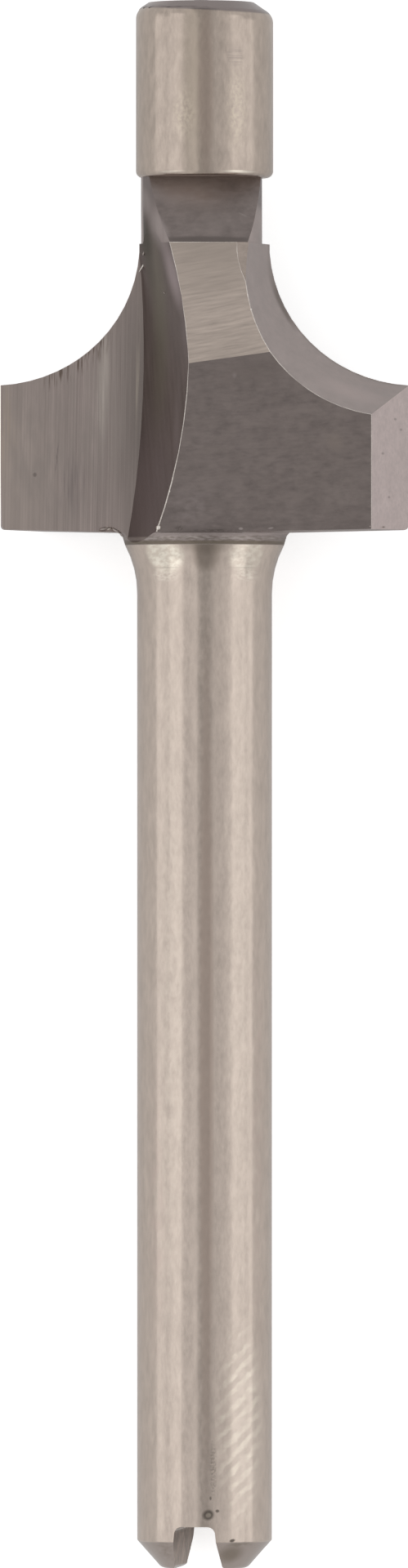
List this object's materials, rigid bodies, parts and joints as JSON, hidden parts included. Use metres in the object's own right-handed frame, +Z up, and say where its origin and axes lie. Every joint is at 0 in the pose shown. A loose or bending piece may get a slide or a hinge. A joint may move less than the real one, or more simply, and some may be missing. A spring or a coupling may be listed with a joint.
{
  "type": "router bit",
  "caption": "High-speed-steel corner-rounding router bit with a solid pilot tip, concave quarter-round cutting wings, a flared hub and a straight round shank.",
  "frame": {"origin": "centre of the underside of the bounding box, where the lying bit touches the bench", "axes": "the bit lies with its pilot towards +Y and its wings along X; +Z is up from the bench"},
  "size_m": [0.0096, 0.037, 0.0039],
  "materials": {
    "steel": "satin ground steel, turned on the shank and pilot, wheel-ground on the head"
  },
  "bodies": {
    "root": {"router_bit": "steel"}
  },
  "joints": []
}
